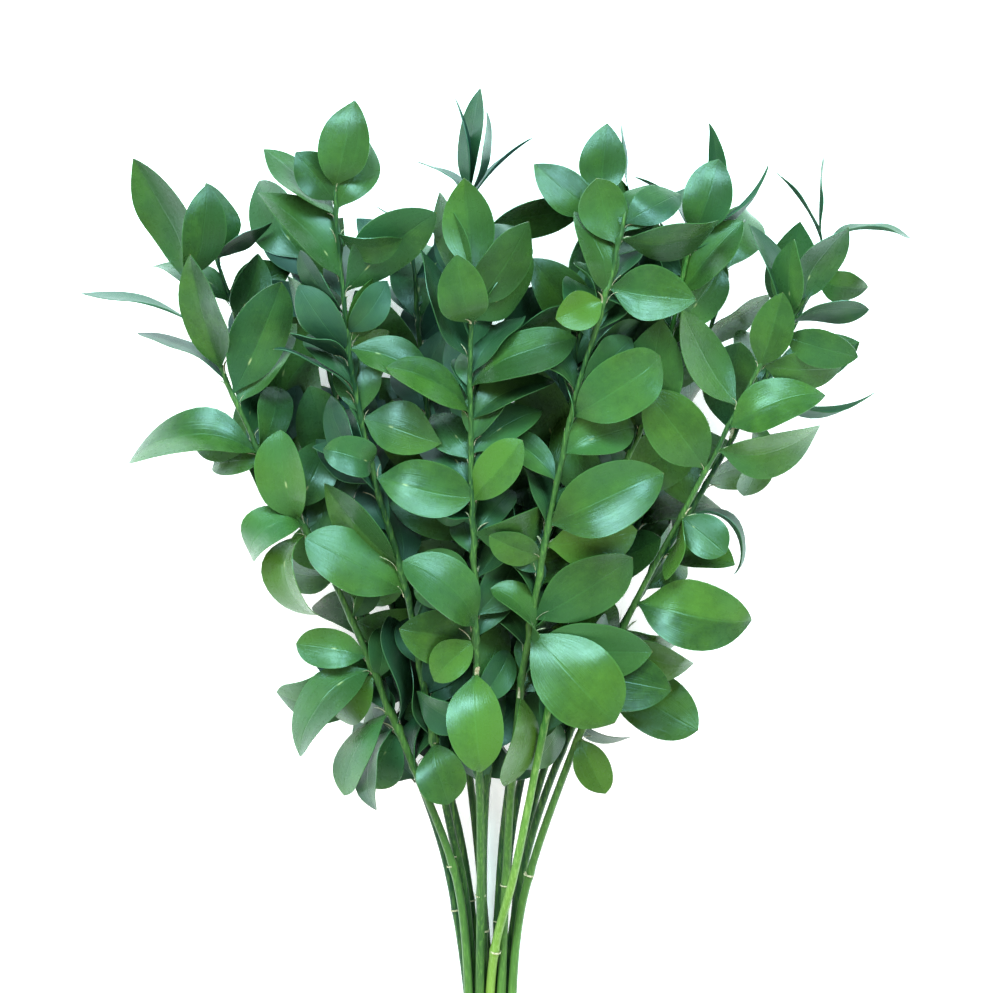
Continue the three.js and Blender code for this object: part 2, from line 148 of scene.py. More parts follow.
# In the tie the canes lie in rows, from the table up: 0 has five, 1 four, 2 five. slot counts pitches
# from the middle of the row.
# route: points that the cane passes above the tie.
# leaves: height of the root, heading (0 right, 90 up the bunch), length, width, lift, turn and
# maybe arch.
# fill: leaves laid by rule between two heights, on a seeded spiral.
stems = [
    {
        "name": "stem_centre", "row": 2, "slot": -1,
        "route": [[-6, 107, 46], [-8.4, 213, 84], [-9.6, 285, 105], [-11.4, 392, 130], [-9, 455, 146]],
        "leaves": [
            [207, 67, 45, 24, -15, 40], [218, -86, 66, 35, 10, 5, 45], [237, -136, 36, 24, -5, 0],
            [244, 135, 68, 36, 20, 30, 50], [302, 17, 54, 28, 0, 55, 110], [320, 51, 52, 28, 25, -25],
            [344, 127, 44, 26, -25, 20], [358, 66, 40, 22, -10, 45], [372, 150, 61, 32, 15, 50],
            [388, 28, 71, 36, 10, -40], [404, 111, 71, 36, 5, 60], [425, 103, 50, 30, 35, 0],
            [426, 50, 61, 32, -25, 50], [434, 57, 61, 34, 5, 35], [447, 110, 62, 32, -15, -55],
            [453, 90, 58, 32, 10, 10],
        ],
    },
    {
        "name": "stem_centre_right", "row": 2, "slot": 1,
        "route": [
            [10, 99, 36], [18, 201, 74], [31, 285, 104], [48, 370, 128], [68, 441, 145], [80, 490, 152],
        ],
        "leaves": [
            [204, -98, 60, 31, 5, -40, 35], [234, -3, 76, 38, -20, 30], [234, 121, 52, 28, 25, 45, 70],
            [242, -47, 78, 50, 10, 0, 45], [249, 32, 73, 38, 10, 20], [287, 158, 40, 22, 5, 25],
            [294, 15, 58, 34, -20, 0], [306, 25, 78, 42, 10, 0], [348, 21, 50, 30, -20, 0],
            [370, 32, 69, 38, 10, 10], [438, -158, 34, 24, 30, 0], [441, 109, 54, 28, 5, 40],
            [446, -8, 50, 34, 10, 0], [470, 108, 42, 31, 15, 0], [474, 4, 62, 32, -5, 55],
            [477, 56, 42, 26, -20, 0],
        ],
    },
    {
        "name": "stem_right", "row": 2, "slot": 2,
        "route": [
            [20, 76, 27], [57, 184, 56], [88, 260, 80], [130, 340, 104], [160, 399, 118], [188, 442, 126],
        ],
        "leaves": [
            [177, -66, 39, 23, 0, 10], [234, -22, 50, 28, 0, 25], [243, -14, 44, 25, -20, 45],
            [259, -12, 76, 43, 10, 0, 35], [311, -40, 36, 26, 15, 0], [313, -105, 42, 24, 5, 45],
            [339, 128, 63, 37, 10, 0], [351, 12, 66, 34, 5, 42], [364, 23, 65, 34, 10, -30],
            [376, 119, 68, 36, 10, 40], [399, 74, 50, 26, 20, 0], [401, -7, 52, 27, -10, 30],
            [419, -16, 48, 24, -10, 20], [423, 109, 66, 34, -5, 60], [425, 9, 50, 26, 5, 60],
            [429, 90, 48, 26, 15, -45], [437, 58, 54, 30, 10, 40],
        ],
    },
    {
        "name": "stem_left", "row": 2, "slot": -2,
        "route": [[-21, 87, 28], [-57, 182, 50], [-94, 272, 72], [-141, 355, 92], [-182, 452, 106]],
        "leaves": [
            [180, -118, 44, 34, -25, 10], [183, -103, 60, 30, 12, 60, 100], [182, 92, 72, 36, 10, 60],
            [192, -119, 62, 33, -10, 40, 60], [215, -134, 44, 28, -25, 0], [218, -133, 76, 36, 10, 40, 50],
            [226, 170, 46, 25, 0, 5], [301, -84, 66, 34, 0, 55, 90], [305, -150, 50, 32, 0, 40, 120],
            [308, 103, 61, 33, 20, -25], [314, 65, 52, 30, -10, 0], [344, -177, 38, 22, -20, 30],
            [349, 175, 84, 38, 5, 45], [351, 71, 46, 25, -15, 30], [354, 159, 54, 28, -20, -35],
            [378, 56, 64, 34, -15, -30], [384, 65, 76, 37, 15, 25], [392, 149, 64, 34, -10, 65],
            [398, 104, 78, 32, 25, -35], [423, 164, 78, 34, 0, 70], [451, 76, 64, 32, 15, 40],
            [452, 113, 82, 35, 10, -35],
        ],
    },
    {
        "name": "stem_centre_left", "row": 1, "slot": -1.5,
        "route": [
            [-17, 84, 20], [-23, 111, 28], [-37, 190, 60], [-50, 265, 86], [-70, 339, 106], [-83, 405, 120],
            [-92, 507, 136],
        ],
        "leaves": [
            [174, -76, 42, 31, 15, 10, 40], [175, 102, 56, 28, 5, 60], [265, 151, 72, 38, 15, 20],
            [281, 138, 68, 36, 5, -35], [335, -13, 62, 34, 15, -10], [342, 162, 40, 24, 30, 0, 70],
            [370, -20, 50, 33, 5, 0], [371, 98, 46, 30, -15, 0], [381, 148, 62, 30, 20, 75],
            [411, -15, 58, 30, 10, -35], [414, 67, 44, 24, -5, 40], [420, 138, 54, 28, -20, -45],
            [443, 40, 76, 38, 5, 30], [452, 134, 72, 36, 10, 45], [475, 146, 42, 24, -15, 20],
            [479, -6, 44, 24, 0, 55, 100], [488, 137, 60, 31, -5, 50], [492, 63, 50, 29, -15, 0],
            [497, 129, 38, 27, 12, -20], [505, 77, 56, 31, 10, 0],
        ],
    },
    {
        "name": "stem_lime", "row": 2, "slot": 0,
        "route": [
            [3.6, 46, 29], [15, 92, 48], [34, 188, 74], [49, 261, 90], [72, 321, 100], [100, 390, 110],
            [121, 484, 122],
        ],
        "leaves": [
            [363, 159, 40, 26, -20, 0], [387, 41, 48, 28, -20, 30], [423, 53, 50, 28, -5, 0],
            [441, 50, 60, 32, 10, -40], [468, 30, 46, 22, -20, 70], [478, 72, 50, 30, 10, 0],
            [480, 41, 64, 30, -10, 75], [478, 130, 52, 24, -15, 70], [483, 78, 70, 28, -5, 80],
        ],
        "fill": [222, 400],
    },
    {
        "name": "stem_far_right", "row": 1, "slot": 1.5,
        "route": [
            [22, 100, 19], [50, 183, 38], [86, 254, 52], [120, 312, 64], [150, 366, 72], [190, 441, 80],
            [202, 476, 84],
        ],
        "leaves": [
            [191, 22, 62, 30, -10, 40], [186, -20, 42, 17, -20, 60],
            [311, -50, 60, 28, 0, -70, 100], [374, -91, 56, 30, 0, -50, 60], [388, -6, 75, 30, -10, 70],
            [456, -14, 34, 22, -5, 30], [470, 89, 58, 26, 0, 75], [472, 122, 56, 26, 5, 75],
            [474, 7, 54, 26, 0, -70],
        ],
        "fill": [222, 450],
    },
    {
        "name": "stem_high", "row": 1, "slot": -0.5,
        "route": [[-4, 110, 30], [2, 215, 56], [6, 320, 74], [0, 420, 88], [-13, 505, 96]],
        "leaves": [
            [477, 14, 70, 34, -10, 50], [488, 174, 61, 26, -5, -75], [494, 135, 46, 22, -5, 65],
            [500, 45, 54, 24, 0, -75], [503, 98, 60, 22, 8, 70], [504, 78, 53, 24, 0, 60],
            [505, 90, 67, 22, -8, -60],
        ],
        "fill": [215, 480],
    },
    {
        "name": "stem_high_right", "row": 1, "slot": 0.5,
        "route": [[8, 110, 26], [22, 215, 50], [38, 320, 68], [54, 420, 82], [66, 502, 92]],
        "leaves": [[492, 141, 50, 27, 0, -20], [501, 84, 46, 29, 5, 0]],
        "fill": [215, 480],
    },
    {
        "name": "stem_low_left", "row": 0, "slot": -2,
        "route": [
            [-28, 100, 13], [-60, 190, 25], [-90, 280, 36], [-120, 350, 44], [-147, 410, 50],
            [-167, 470, 55],
        ],
        "leaves": [
            [344, 81, 67, 36, 10, -45], [429, 71, 46, 26, 5, 25], [441, 152, 56, 24, -5, 50],
            [447, 21, 42, 24, 0, -15], [466, 98, 50, 26, 0, 50], [468, 30, 40, 18, 0, 60],
            [300, 113, 62, 32, -37, 12],
        ],
        "fill": [190, 400],
    },
    {
        "name": "stem_low_centre_left", "row": 0, "slot": -1,
        "route": [[-18, 110, 14], [-46, 210, 30], [-76, 310, 42], [-98, 400, 50], [-114, 478, 54]],
        "fill": [200, 486],
    },
    {
        "name": "stem_low_centre", "row": 0, "slot": 0,
        "route": [[-8, 110, 14], [-20, 215, 30], [-32, 320, 40], [-42, 410, 46], [-48, 478, 50]],
        "fill": [205, 462],
    },
    {
        "name": "stem_low_centre_right", "row": 0, "slot": 1,
        "route": [[12, 110, 14], [33, 215, 30], [56, 320, 42], [78, 410, 50], [90, 494, 56]],
        "leaves": [[492, 136, 42, 22, 10, 30], [494, 31, 48, 24, 0, -60], [496, 99, 60, 22, 0, 75]],
        "fill": [210, 480],
    },
    {
        "name": "stem_low_right", "row": 0, "slot": 2,
        "route": [[19, 100, 11], [48, 200, 25], [88, 300, 36], [124, 390, 44], [148, 480, 50]],
        "leaves": [[435, 117, 46, 26, 0, -20], [300, 68, 60, 31, -36, -10]],
        "fill": [236, 486],
    },
]


def drawsFrom(seed):  # the same draws each run, from a whole-number seed
    multiplier, step, size = 1664525, 1013904223, 2**32
    state = [seed]

    def draw(low, high):
        state[0] = (state[0] * multiplier + step) % size
        return low + (high - low) * state[0] / size

    return draw


# where canes and leaves go, by the rule that the solids follow
def rowHeight(row):
    lowest = tieForm["wall"] + tieForm["gap"] + cane["radius"]
    return lowest + row * cane["pitch"] * math.sin(math.pi / 3)


def centreLine(stem, steps):  # points along a centripetal Catmull-Rom curve through the route
    x, z = stem["slot"] * cane["pitch"], rowHeight(stem["row"])
    tied = [(x * cane["splay"], -cane["tuck"], z), (x, -tieForm["width"], z), (x, tieForm["width"], z)]
    points = np.array([*tied, *stem["route"]], dtype=float)
    points = np.vstack([2 * points[0] - points[1], points, 2 * points[-1] - points[-2]])
    line = []
    for place in np.linspace(0, len(points) - 3, steps + 1):
        first = min(int(place), len(points) - 4)
        a, b, c, d = points[first : first + 4]
        one, two, three = (max(((q - p) ** 2).sum() ** 0.25, 1e-4) for p, q in ((a, b), (b, c), (c, d)))
        start = ((b - a) / one - (c - a) / (one + two) + (c - b) / two) * two
        end = ((c - b) / two - (d - b) / (two + three) + (d - c) / three) * two
        s = place - first
        square, cube = s * s, s * s * s
        point = b + start * s + (3 * (c - b) - 2 * start - end) * square
        line.append(point + (2 * (b - c) + start + end) * cube)
    return np.array(line)


def caneRadius(stem, y):
    share = np.clip((y + cane["tuck"]) / (stem["top"] + cane["tuck"]), 0, 1)
    return cane["radius"] + (cane["tipRadius"] - cane["radius"]) * share ** cane["taper"]


def turned(one, other, angle):  # one direction, turned towards another
    return one * math.cos(angle) + other * math.sin(angle)


def sidesOf(along):  # to the right of a cane, and above it
    side = np.cross(along, (0, 0, 1))
    side = side / np.linalg.norm(side, axis=-1, keepdims=True)
    return side, np.cross(side, along)


def stemAt(stem, height):
    dots = stem["dots"]
    y = min(height, stem["top"] - 2 * cane["tipRadius"])
    i = 1
    while i < len(dots) - 1 and dots[i][1] < y:
        i += 1
    along = dots[i] - dots[i - 1]
    share = min((y - dots[i - 1][1]) / along[1], 1)
    return dots[i - 1] + along * share, along / np.linalg.norm(along)


stationT, stationHalf = np.array(leafForm["outline"]).T


def bladePoints(leaf, t, u, half, off=0.0):  # t along the leaf, u across it, off above its middle
    arch, bend = leaf["arch"], leaf["arch"] * (0.5 - t)
    along = leaf["length"] / arch * (math.sin(arch / 2) - np.sin(bend))
    rise = leaf["length"] / arch * (np.cos(bend) - math.cos(arch / 2))
    face = np.outer(np.cos(bend), leaf["face"]) - np.outer(np.sin(bend), leaf["chord"])
    twist = (leaf["twist"] * (t - 0.5))[:, None]
    across = np.cos(twist) * leaf["side"] + np.sin(twist) * face
    normal = np.cos(twist) * face - np.sin(twist) * leaf["side"]
    points = leaf["root"] + np.outer(along, leaf["chord"]) + np.outer(rise, leaf["face"])
    return points + across * (u * half)[:, None] + normal * (leaf["cup"] * half * u * u + off)[:, None]


def plainPoints(leaf, t, u):  # as the solids have it
    return bladePoints(leaf, t, u, leaf["width"] / 2 * np.interp(t, stationT, stationHalf))


def aimed(leaf, nudge, share):  # turns a leaf's angles into its three directions
    angles = zip(("heading", "lift", "turn"), nudge)
    heading, lift, turn = (math.radians(leaf[key] + more) for key, more in angles)
    level = math.cos(lift)
    chord = np.array((math.cos(heading) * level, math.sin(heading) * level, math.sin(lift)))
    flat = np.array((-math.sin(heading), math.cos(heading), 0))
    out = np.cross(chord, flat)
    side, face = turned(flat, out, turn), turned(out, -flat, turn)
    size = {"length": leaf["length"] * share, "width": leaf["width"] * share}
    return {**leaf, "chord": chord, "side": side, "face": face, **size}


dotT = np.repeat(np.arange(2, 13) / 12, 7)
dotU = np.tile(np.arange(-3, 4) * 0.32, 11)
outer = slice(21, None)  # the dots away from the root


def isNear(dots, others, gap):
    if not len(others):
        return False
    squares = (dots**2).sum(1)[:, None] + (others**2).sum(1) - 2 * dots @ others.T
    return squares.min() < gap * gap


# steps of heading, lift and turn, the smallest moves first
nudges = [(h, up, t) for h in range(-3, 4) for up in range(-4, 5) for t in range(-3, 4)]
nudges.sort(key=lambda n: 4 * n[0] ** 2 + 2 * n[1] ** 2 + n[2] ** 2)


# as asked, or moved a little until it has room, or not at all
def lay(leaf, stem, laid, gap, ways, pointsOf=plainPoints, crosses=None):
    reach = 1.1 * leaf["length"] + gap["stem"]

    def within(dots):
        return dots[((dots - leaf["root"]) ** 2).sum(1) < reach * reach]

    empty = np.zeros((0, 3))
    ownCane = within(stem["dots"])
    canes = within(np.vstack([other["dots"] for other in stems if other is not stem]))
    twins = within(np.vstack([empty, *(one["dots"][outer] for one in laid if one["stem"] is stem)]))
    others = within(np.vstack([empty, *(one["dots"] for one in laid if one["stem"] is not stem)]))
    for share in laying["shorter"]:
        for way in ways:
            tried = aimed(leaf, [step * count for step, count in zip(laying["step"], way)], share)
            dots = pointsOf(tried, dotT, dotU)
            if dots[:, 2].min() < gap["floor"] or isNear(dots, canes, gap["stem"]):
                continue
            if isNear(dots[outer], ownCane, gap["own"]) or isNear(dots[outer], twins, gap["twin"]):
                continue
            if isNear(dots, others, gap["leaf"]) or (crosses and crosses(dots)):
                continue
            laid.append({**tried, "stem": stem, "dots": dots})
            return


def withHabit(leaf, draw, arch=None):  # a leaf's own small differences
    bowed = draw(*leafForm["arch"]) * (1 if draw(0, 1) < leafForm["archedUp"] else -1)
    arch = math.radians(bowed if arch is None else arch)
    twist = math.radians(draw(*leafForm["twist"]))
    return {**leaf, "arch": arch, "twist": twist, "cup": draw(*leafForm["cup"])}


def layStated(stem, laid):
    draw = drawsFrom(stem["seed"])
    for height, heading, length, width, lift, turn, *arch in stem.get("leaves", []):
        leaf = {"root": stemAt(stem, height)[0], "heading": heading, "lift": lift, "turn": turn}
        leaf["name"] = stem["name"], height
        leaf.update(length=length, width=width)
        lay(withHabit(leaf, draw, *arch), stem, laid, laying["gap"], nudges)


def ruledLeaf(stem, height, around, opening, rule, lifts, draw):  # opening is from the cane
    root, along = stemAt(stem, height)
    outwards = turned(*sidesOf(along), math.radians(around))
    way = turned(along, outwards, math.radians(opening))
    length = rule["length"] * draw(*rule["lengths"])
    leaf = {"root": root, "way": way, "heading": math.degrees(math.atan2(way[1], way[0]))}
    leaf["lift"] = float(np.clip(math.degrees(math.asin(way[2])), *lifts))
    leaf.update(turn=draw(*rule["turn"]), length=length, width=length * rule["ratio"])
    return withHabit(leaf, draw)


def layFilling(stem, laid):
    if "fill" not in stem:
        return
    draw = drawsFrom(stem["seed"] + 100)
    low, high = stem["fill"]
    first, last = laying["opening"]
    count = round((high - low) / laying["every"])
    for i in range(count):
        height = low + (i + draw(*laying["scatter"])) * laying["every"]
        around = i * laying["spiral"] + draw(*laying["around"])
        opening = first + (last - first) * i / count + draw(*laying["ajar"])
        leaf = ruledLeaf(stem, height, around, opening, laying, laying["lift"], draw)
        lay(leaf, stem, laid, laying["gap"], nudges)


for seed, stem in enumerate(stems, 11):
    stem["seed"] = seed
    stem["dots"] = centreLine(stem, cane["dots"])
    stem["top"] = stem["dots"][-1][1]
laid = []
for stem in stems:
    layStated(stem, laid)
for stem in stems:
    layFilling(stem, laid)
print("leaves that the solids have:", len(laid))


# the finer form of each leaf
def smoothCurve(stations, t):
    x, y = np.array(stations).T
    slope = np.gradient(y, x)
    slope[-1] = (y[-1] - y[-2]) / (x[-1] - x[-2])
    i = np.clip(np.searchsorted(x, t) - 1, 0, len(x) - 2)
    step = x[i + 1] - x[i]
    s = (t - x[i]) / step
    value = (2 * s**3 - 3 * s**2 + 1) * y[i] + (s**3 - 2 * s**2 + s) * step * slope[i]
    return value + (3 * s**2 - 2 * s**3) * y[i + 1] + (s**3 - s**2) * step * slope[i + 1]


def partOf(value, low, high):  # 0 below low, 1 above high
    return float(np.clip((value - low) / (high - low), 0, 1))


def atTop(leaf):  # 0 in the lower part of the bunch, 1 at its tips
    return partOf(leaf["root"][1], *leafForm["upper"])


# leaves whose finer form is their own: the stem and the height of the root
ownForm = {
    ("stem_centre_right", 204): {"twist": 0.1, "curl": 0.05, "crease": 0.1},
}


def fineForm(leaf, draw):  # what a leaf's finer form needs beside its laid one
    curl = leafForm["hook"] if draw(0, 1) < leafForm["hooked"] else leafForm["curl"]
    left, right = leafForm["pointedness"]
    pointed = atTop(leaf) * (left if leaf["root"][0] < 0 else right)
    form = {"bluntness": draw(0, 1) * (1 - pointed), "curl": draw(*curl), "calm": 1}
    for key in ("wave", "waves", "crease", "bow", "sway", "lopsided"):
        form[key] = draw(*leafForm[key])
    form.update(phase=draw(0, 2 * math.pi), lean=draw(-1, 1))
    if "name" in leaf:
        form.update(ownForm.get(leaf["name"], {}))
    return {**leaf, **form}


def finePoints(leaf, t, u):
    blunt = leaf["bluntness"]
    half = smoothCurve(leafForm["pointed"], t) * (1 - blunt) + smoothCurve(leafForm["blunt"], t) * blunt
    (stalkEnd, stalkHalf), (tipStart, tipHalf) = leafForm["stalk"], leafForm["tip"]
    least = np.interp(t, (0, stalkEnd, tipStart, 1), (stalkHalf, stalkHalf, tipHalf, tipHalf))
    half = np.maximum(half * leaf["width"] / 2, least) * (1 + leaf["lopsided"] * np.sign(u))
    calm = leaf["calm"]
    # the two edges wave more or less together
    phase = 2 * math.pi * leaf["waves"] * t + leaf["phase"] + leaf["lean"] * u
    off = leaf["wave"] * half * u * u * np.sin(phase)
    off += calm * leaf["crease"] * half * np.abs(u) * (1 - t * t)
    bow = np.sin(math.pi * np.clip(t / leafForm["bowEnd"], 0, 1)) ** 2
    start, stretch = leafForm["curled"]
    curl = np.clip((t - start) / stretch, 0, 1) ** 2
    off += calm * leaf["length"] * (math.copysign(leaf["bow"], leaf["arch"]) * bow - leaf["curl"] * curl)
    more = 1 + (leafForm["bend"] - 1) * calm
    bent = {"arch": leaf["arch"] * more, "twist": leaf["twist"] * more}
    points = bladePoints({**leaf, **bent}, t, u, half, off)
    points += np.outer(calm * leaf["sway"] * leaf["length"] * np.sin(math.pi * t), leaf["side"])
    points[:, 2] = np.maximum(points[:, 2], leafForm["thick"])  # none goes through the table
    return points


def onEdge(leaf):  # 1 for a leaf that stands on its edge, 0 for most
    return partOf(abs(leaf["turn"]), *leafForm["onEdge"]) * ("inner" not in leaf)


def steepened(leaf):  # a leaf on its edge, steeper and straighter
    more = math.copysign(math.radians(leafForm["steeper"]) * onEdge(leaf), leaf["turn"])
    side = turned(leaf["side"], leaf["face"], more)
    face = turned(leaf["face"], -leaf["side"], more)
    twist = leaf["twist"] * (1 - leafForm["straighter"] * onEdge(leaf))
    return {**leaf, "side": side, "face": face, "twist": twist}


for stem in stems:
    draw = drawsFrom(stem["seed"] + 300)
    for i, leaf in enumerate(laid):
        if leaf["stem"] is stem:
            laid[i] = fineForm(steepened(leaf), draw)

corners = [7 * row + column for row in range(10) for column in range(6)]
sheetQuads = [(dot, dot + 1, dot + 8, dot + 7) for dot in corners]


def sheetOf(dots):  # to see whether two leaves cross
    return BVHTree.FromPolygons(dots.tolist(), sheetQuads)


def remade(leaf):
    dots = finePoints(leaf, dotT, dotU)
    return {**leaf, "dots": dots, "sheet": sheetOf(dots), "middle": dots.mean(0)}


def crossings(leaves):
    middles = np.array([leaf["middle"] for leaf in leaves])
    reach = np.array([leaf["length"] * leafForm["reach"] for leaf in leaves])
    apart = np.linalg.norm(middles[:, None] - middles, axis=2)
    near = np.argwhere(np.triu(apart < reach[:, None] + reach, 1))
    return [(i, j) for i, j in near if leaves[i]["sheet"].overlap(leaves[j]["sheet"])]


laid = [remade(leaf) for leaf in laid]
for calm in (0.6, 0.25, 0):  # leaves that would cross bend less
    crossed = crossings(laid)
    for i in {i for pair in crossed for i in pair}:
        laid[i] = remade({**laid[i], "calm": calm})
print("pairs of them that cross near their roots:", len(crossings(laid)))

# leaves inside the bunch, finer than the solids can hold
innerLeaves = {
    "start": 150,
    "every": 9,
    "scatter": (-0.3, 0.3),  # of the places along the cane
    "around": (165, 375),  # degrees round the cane: sideways, or towards the table
    "opening": (30, 68),  # degrees from the cane
    "length": 50,
    "lengths": (0.8, 1.2),
    "ratio": 0.54,
    "lift": ((-45, 12), (-45, 12), (-45, -12)),  # by the row of the cane
    "turn": (-60, 60),
    "middle": 0.6,  # the part of a leaf that has to be in the fan
    "gap": {"leaf": 1.5, "twin": 1.0, "stem": 4.0, "own": 2.6, "floor": 1.5},
    "dullness": (0.9, 0.6, 0.25),  # how far they take the painted shade of the inside, by the row of the cane
    # the dense part of the bunch: heights, and how far it goes to the left and right there
    "fan": [
        (150, -68, 18), (172, -110, 36), (205, -114, 56), (228, -78, 60), (262, -62, 68), (290, -90, 74),
        (345, -130, 88), (385, -150, 104), (465, -152, 118), (500, -120, 100),
    ],
}


def layInner(stem, laid):
    draw = drawsFrom(stem["seed"] + 200)
    ways = [way for way in nudges if abs(way[1]) < 2][::3]

    def crosses(dots):
        sheet, middle = sheetOf(dots), dots.mean(0)
        for one in laid:
            reach = (leaf["length"] + one["length"]) * leafForm["reach"]
            if math.dist(one["middle"], middle) < reach and sheet.overlap(one["sheet"]):
                return True
        return False

    heights, lefts, rights = zip(*innerLeaves["fan"])
    start, lifts = innerLeaves["start"], innerLeaves["lift"][stem["row"]]
    for i in range(round((stem["top"] - start) / innerLeaves["every"])):
        height = start + (i + draw(*innerLeaves["scatter"])) * innerLeaves["every"]
        around, opening = draw(*innerLeaves["around"]), draw(*innerLeaves["opening"])
        leaf = ruledLeaf(stem, height, around, opening, innerLeaves, lifts, draw)
        leaf = fineForm(leaf, draw)
        x, y = (leaf["root"] + leaf["way"] * leaf["length"] * innerLeaves["middle"])[:2]
        left, right = np.interp(y, heights, lefts), np.interp(y, heights, rights)
        if heights[0] < y < heights[-1] and left < x < right:
            before = len(laid)
            lay({**leaf, "inner": True}, stem, laid, innerLeaves["gap"], ways, finePoints, crosses)
            if len(laid) > before:
                laid[-1] = remade(laid[-1])


for stem in stems:
    layInner(stem, laid)
print("leaves with the inner ones:", len(laid))


# shader maths: arithmetic on a wire adds the nodes for it
class Wire:
    def __init__(self, finish, socket):
        self.finish, self.socket = finish, socket

    def math(self, operation, *others):
        values = dict(enumerate((self, *others)))
        return self.finish.add("ShaderNodeMath", {"operation": operation}, values)

    def __add__(self, other):
        return self.math("ADD", other)

    def __sub__(self, other):
        return self.math("SUBTRACT", other)

    def __rsub__(self, other):
        return self.finish.add("ShaderNodeMath", {"operation": "SUBTRACT"}, {0: other, 1: self})

    def __mul__(self, other):
        return self.math("MULTIPLY", other)

    def __pow__(self, other):
        return self.math("POWER", other)

    __radd__, __rmul__ = __add__, __mul__

    def part(self, letter):
        return self.finish.add("ShaderNodeSeparateXYZ", {}, {0: self}, letter)

    def over(self, low, high):  # low where it is 0, high where it is 1
        return self * (high - low) + low

    def between(self, low, high):  # 0 below low, 1 above high, smooth between
        settings = {"interpolation_type": "SMOOTHSTEP"}
        return self.finish.add("ShaderNodeMapRange", settings, {"Value": self, 1: low, 2: high})


def setAll(thing, settings):
    for key, value in settings.items():
        setattr(thing, key, value)


class Finish:  # a material, or the world's sky, and its nodes
    def __init__(self, name, kind=bpy.data.materials):
        self.material = kind.new(name)
        self.material.use_nodes = True
        self.tree = self.material.node_tree
        self.tree.nodes.clear()

    def add(self, kind, settings, sockets=None, output=0):
        node = self.tree.nodes.new(kind)
        setAll(node, settings)
        for key, value in (sockets or {}).items():
            if isinstance(value, Wire):
                self.tree.links.new(value.socket, node.inputs[key])
            else:
                node.inputs[key].default_value = value
        return Wire(self, node.outputs[output]) if node.outputs else None

    def blend(self, share, first, second):
        return self.add("ShaderNodeMix", {"data_type": "RGBA"}, {0: share, 6: first, 7: second}, 2)

    def vector(self, x, y, z):
        return self.add("ShaderNodeCombineXYZ", {}, {0: x, 1: y, 2: z})

    def noise(self, vector, scale, detail=2.0, rough=0.5):
        sockets = {"Vector": vector, "Scale": scale, "Detail": detail, "Roughness": rough}
        return self.add("ShaderNodeTexNoise", {}, sockets)

    def place(self):  # object coordinates, in metres
        return self.add("ShaderNodeTexCoord", {}, output="Object")

    def bump(self, height, distance, strength):
        sockets = {"Height": height, "Distance": distance, "Strength": strength}
        return self.add("ShaderNodeBump", {}, sockets)

    def done(self, colour, rough, relief, others=None):
        sockets = {"Base Color": colour, "Roughness": rough, "Normal": relief, **(others or {})}
        surface = self.add("ShaderNodeBsdfPrincipled", {}, sockets)
        self.add("ShaderNodeOutputMaterial", {}, {"Surface": surface})
        return self.material


leafPattern = {  # scales of the noises, and what both sides of a leaf share
    "mottle": 95,
    "clouds": 26,
    "fine": 500,
    "gloss": 240,
    "streaks": (60, 1.6),  # across and along the leaf
    "rib": (0.012, 0.05),  # how far it goes to either side, as a share of the half width
    # where the edges are paler: a pale margin and a painted rim highlight
    "rim": (0.95, 0.985),
    "scar": (0.30, 0.34, 0.15, 1),
    "scarred": (0.68, 0.72),  # from this grain on, a leaf has a pale spot on the rib
    "dryTip": (0.16, 0.10, 0.035, 1),
    "relief": 0.0003,
    "sheen": (0.66, 0.9, 1.0, 1),
    "coatRough": 0.3,
}
leafUpper = {
    "deep": (0.013, 0.038, 0.010, 1),
    "fresh": (0.047, 0.113, 0.017, 1),
    "cool": (0.023, 0.080, 0.036, 1),
    "aged": (0.050, 0.106, 0.010, 1),
    # painted shade of the leaves inside the bunch
    "inner": (0.014, 0.044, 0.040, 1),
    "vein": (0.055, 0.165, 0.040, 1),
    "rough": (0.23, 0.33),
    "shine": 0.38,
    "coat": 0.07,
}
leafUnder = {
    "deep": (0.014, 0.060, 0.014, 1),
    "fresh": (0.034, 0.112, 0.020, 1),
    "cool": (0.018, 0.088, 0.044, 1),
    "aged": (0.060, 0.110, 0.014, 1),
    # painted shade of the leaves inside the bunch
    "inner": (0.017, 0.050, 0.045, 1),
    "vein": (0.055, 0.150, 0.040, 1),
    "rough": (0.42, 0.52),
    "shine": 0.02,
    "coat": 0.0,
}


